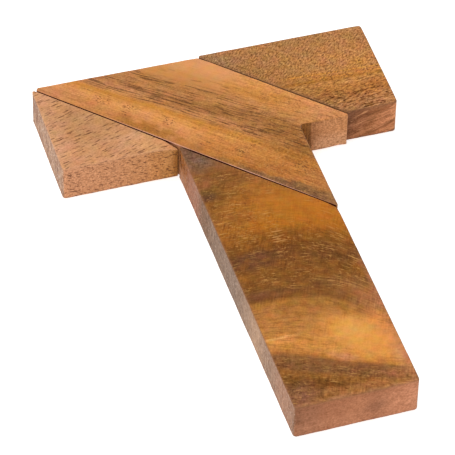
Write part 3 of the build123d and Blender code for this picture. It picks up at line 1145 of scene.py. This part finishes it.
    # painted bounce light from the floor: paler low down
    foot = mix(z.step(6.0, 2.0) * 0.35, foot, (0.58, 0.265, 0.15))
    foot = mix(z.step(7.4, 9.2), foot, times(foot, (0.90, 0.86, 0.82)))
    blotch = wood.spot(19.6, 4.6, 2.4, 1.5, 10.0, soft=0.7, plane=(across, z))
    foot = mix(blotch * 0.7, foot, (0.31, 0.135, 0.074))
    foot_cloud = wood.cloud(3.0, seed=12.0, detail=3.0).step(0.45, 0.62)
    foot = mix(foot_cloud * 0.30, foot, (0.36, 0.14, 0.07))
    wood.paint(side * y_face * wood.ny.step(0.1, -0.1), times(foot, (0.87, 0.84, 0.79)))

    # light and dark, calmer in the bright and orange patches
    bright = masks["bright"]
    calm = highest(masks["orange"] * 0.6, wood.spot(4.0, -41.0, 8.0, 5.0, -40.0, soft=0.6) * 0.8)
    keep = 1.0 - highest(bright * 0.75, calm)
    mottle = fibres.variation(seed=37.0, sizes=[(2.4, 0.36, 0.62, 1.0), (8.0, 0.9, 0.50, 2.0)])
    mottle = mottle * bright.lin(-0.6, 1.0)
    hair_along, hair_across = wood.turned(66.0)
    hair = texture(combine(hair_along / 4.2, hair_across / 0.36, z * 2.7), 1.0) - 0.5
    hair = hair * wood.cloud(6.0, seed=61.0).step(0.36, 0.62).lin(0.75, 0.30)
    hair = hair * (1.0 - band.window(55.5, 58.5, 70.0, 73.0) * 0.50)
    mottle = mottle + hair * side.lin(-0.7, 1.0) + wood.grit(0.42, seed=15.0) * side.lin(0.25, 0.60)
    wall_grit = wood.grit(1.1, seed=29.0, detail=2.0, squash=(1.0, 1.0, 0.5))
    mottle = mottle + wall_grit * side * x_face * 1.5
    coarse = band.step(71.0, 74.0) * wood.grit(0.95, seed=19.0, detail=2.0) * 1.7
    blotchy = band.step(12.0, 18.0) * wood.grit(2.2, seed=23.0, detail=2.0) * 0.8
    mottle = (mottle + (coarse + blotchy) * (1.0 - side)) * keep.lin(0.75, 0.25)
    mottle = mottle + masks["grey"] * wood.grit(0.62, seed=33.0) * (1.0 - side) * 1.6
    wood.colour = shade(wood.colour, mottle)

    # pale flecks
    flecks = highest(
        fibres.dashes(along=5.6, across=0.56, size=0.24, seed=41.0, chop=0.9, least=0.35),
        fibres.dashes(along=2.8, across=0.48, size=0.24, seed=47.0, chop=0.5, least=0.2) * 0.85)
    sparks = texture(combine(x * 1.3, line * 2.5, z * 2.4), 1.0).step(0.58, 0.65)
    where = highest(band.window(9.0, 13.0, 51.0, 55.0), band.step(71.0, 73.0) * 0.85)
    gate = wood.cloud(3.5, seed=21.0).step(0.42, 0.58).lin(0.72, 0.28)
    gate = gate * where * (1.0 - side) * keep * (1.0 - purple * 0.75)
    wood.paint(highest(flecks, sparks * 0.40) * gate * 0.85, (0.66, 0.33, 0.095))

    # pale bars and two broken golden lines
    broken = texture(combine(x / 1.3, y / 0.7, z), 1.0) - 0.5
    rungs = highest(*[wood.spot(bar_x, bar_y, half_long, 0.17, turn, 0.5, broken * 1.8)
                      for bar_x, bar_y, half_long, turn in RUNGS])
    wood.paint(rungs * (1.0 - side) * 0.55, (0.62, 0.3, 0.095))
    gold = highest(
        (line + wobble * 0.8).close(49.9, 0.34, 0.10) * x.step(0.0, 3.0) * x.step(14.0, 11.0),
        (line + wobble * 0.8).close(48.8, 0.26, 0.08) * x.step(1.0, 4.0) * 0.7)
    gold = gold * broken.step(-0.12, 0.10).lin(0.8, 0.2)
    wood.paint(gold * (1.0 - side) * 0.42, (0.66, 0.33, 0.095))

    # dark ticks and scars
    threads = fibres.threads(along=9.0, across=0.80, seed=57.0, width=0.05)
    ticks = highest(fibres.dashes(along=3.4, across=0.50, size=0.25, seed=53.0, chop=0.4),
                    threads * x.step(0.0, -6.0) * 0.7)
    ticks = ticks * band.step(56.0, 58.0) * band.step(73.0, 69.0) * (1.0 - bright) * (1.0 - side)
    wood.paint(ticks * 0.42, (0.19, 0.075, 0.018))
    scars = fibres.dashes(along=3.4, across=0.70, size=0.27, seed=71.0, chop=0.5)
    scars = scars * band.step(10.0, 14.0) * band.step(56.0, 50.0) * (1.0 - side) * keep
    wood.paint(scars * 0.55, (0.13, 0.046, 0.012))
    # painted glints on the end grain
    end_glints = side * x_face * wood.scaled(3.0, 3.0, 1.2, detail=2.0).step(0.57, 0.67)
    wood.paint(end_glints * 0.45, (0.62, 0.47, 0.38))
    # painted shade: a dark hairline at the top of the wall along the seam with the pentagon
    gap_shade = wood.seam_shadow(1.0)
    wood.paint(gap_shade * 0.92, (0.07, 0.014, 0.006))
    return wood.finish(relief=mottle * 0.025 + ticks * -0.05 + scars * -0.04, rough=0.60,
                       highlight_colour=(0.6, 0.3, 0.18), arris_highlight=0.08,
                       far_arris_shade=0.55, near_arris_shade=0.40, gap_shade=gap_shade)


# ---------------------------------------------------------------- the four blocks

# Corners and the sides after them are numbered counter-clockwise from the far left corner.
#   radii: rounding of each corner; arris: usual arris width
#   tips: arris width at a corner where it differs; slim: the same along a side
#   wide: (x, y, top?, reach, extra width) where an arris is worn wider
#   mating: sides planed a little hollow
#   flats: (point, normal, softness) of planes that cut a worn corner back
BLOCKS = {
    "centre_pentagon": dict(
        name="pentagon_block", radii=[0.8, 0.45, 0.9, 0.35, 0.9], arris=0.36, seed=1,
        tips={0: 0.26, 1: 0.26, 3: 0.30}, slim={0: 0.26, 3: 0.17, 4: 0.27}, mating=(0,),
        wide=[(26.0, -15.0, True, 3.5, 0.55), (20.5, -15.0, True, 4.0, 0.25),
              (26.5, -15.0, False, 2.5, 0.45), (-7.5, -22.5, True, 3.0, 0.10)]),
    "left_triangle": dict(
        name="triangle_block", radii=[0.45, 0.9, 0.25], arris=0.38, seed=2,
        tips={0: 0.24, 2: 0.32}, slim={2: 0.18}, wide=[(-17.5, -16.0, True, 3.0, 0.3)],
        flats=[((-15.45, -14.62, 8.75), (0.277, -0.115, 1.0), 0.12)]),
    "right_trapezoid": dict(
        name="right_block", radii=[0.5, 0.8, 0.9, 0.8], arris=0.38, seed=3,
        tips={0: 0.26}, slim={0: 0.24, 2: 0.28, 3: 0.27}),
    "stem_trapezoid": dict(
        name="stem_block", radii=[0.34, 0.95, 1.0, 0.9], arris=0.42, seed=4,
        tips={0: 0.28}, slim={2: 0.30, 3: 0.18}, wide=[(14.9, -44.5, True, 2.5, 0.25)]),
}
WOODS = {
    "centre_pentagon": pentagon_wood,
    "left_triangle": triangle_wood,
    "right_trapezoid": right_wood,
    "stem_trapezoid": stem_wood,
}

blocks = {node_name: make_block(node_name, **spec) for node_name, spec in BLOCKS.items()}
bodies = frame["record"]["behaviour"]["bodies"]
for node_name, (block, corners) in blocks.items():
    block.data.materials.append(WOODS[node_name](corners))
    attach(block, next(body for body, members in bodies.items() if node_name in members))
    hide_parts(node_name)


# ---------------------------------------------------------------- floor, light, camera

FLOOR_HALF = 3.0
FLOOR_Z = -0.00005      # just under the blocks
LIGHT_AIM = Vector((0, -0.04, 0))


def make_floor():
    mesh = bpy.data.meshes.new("floor")
    rim = [(x * FLOOR_HALF, y * FLOOR_HALF, FLOOR_Z) for x, y in ((-1, -1), (1, -1), (1, 1), (-1, 1))]
    mesh.from_pydata(rim, [], [(0, 1, 2, 3)])
    floor = place_object("floor", mesh)
    material = bpy.data.materials.new("pale_floor")
    material.use_nodes = True
    inputs = material.node_tree.nodes["Principled BSDF"].inputs
    inputs["Base Color"].default_value = (0.90, 0.90, 0.90, 1)
    inputs["Roughness"].default_value = 0.9
    inputs["Specular IOR Level"].default_value = 0.1
    inputs["Emission Color"].default_value = (1, 1, 1, 1)
    inputs["Emission Strength"].default_value = 0.60
    mesh.materials.append(material)


def make_world():
    world = bpy.data.worlds.new("studio")
    bpy.context.scene.world = world
    world.use_nodes = True
    inputs = world.node_tree.nodes["Background"].inputs
    inputs["Color"].default_value = (1.0, 1.0, 1.0, 1)
    inputs["Strength"].default_value = 0.63


def softbox(name, at, size, power):
    light = bpy.data.lights.new(name, "AREA")
    light.shape = "SQUARE"
    light.size = size
    light.energy = power
    lamp = bpy.data.objects.new(name, light)
    lamp.location = at
    lamp.rotation_mode = "QUATERNION"
    lamp.rotation_quaternion = (LIGHT_AIM - Vector(at)).to_track_quat("-Z", "Y")
    bpy.context.scene.collection.objects.link(lamp)


def make_camera():
    data = bpy.data.cameras.new("camera")
    data.sensor_width = 36.0
    data.lens = 277.64
    data.clip_start = 0.05
    data.clip_end = 20.0
    camera = bpy.data.objects.new("camera", data)
    # columns: right, up, back, place
    camera.matrix_world = Matrix([
        (0.958158, 0.191247, -0.212976, -0.188897),
        (-0.285800, 0.680516, -0.674697, -0.603758),
        (0.015900, 0.707335, 0.706700, 0.595981),
        (0, 0, 0, 1)])
    scene = bpy.context.scene
    scene.collection.objects.link(camera)
    scene.camera = camera
    scene.view_settings.view_transform = "Standard"
    scene.view_settings.look = "None"


make_floor()
make_world()
softbox("top_soft", at=(-0.25, 0.25, 0.95), size=0.9, power=4.5)
softbox("front_soft", at=(-0.55, -0.85, 0.65), size=0.7, power=2.3)
make_camera()
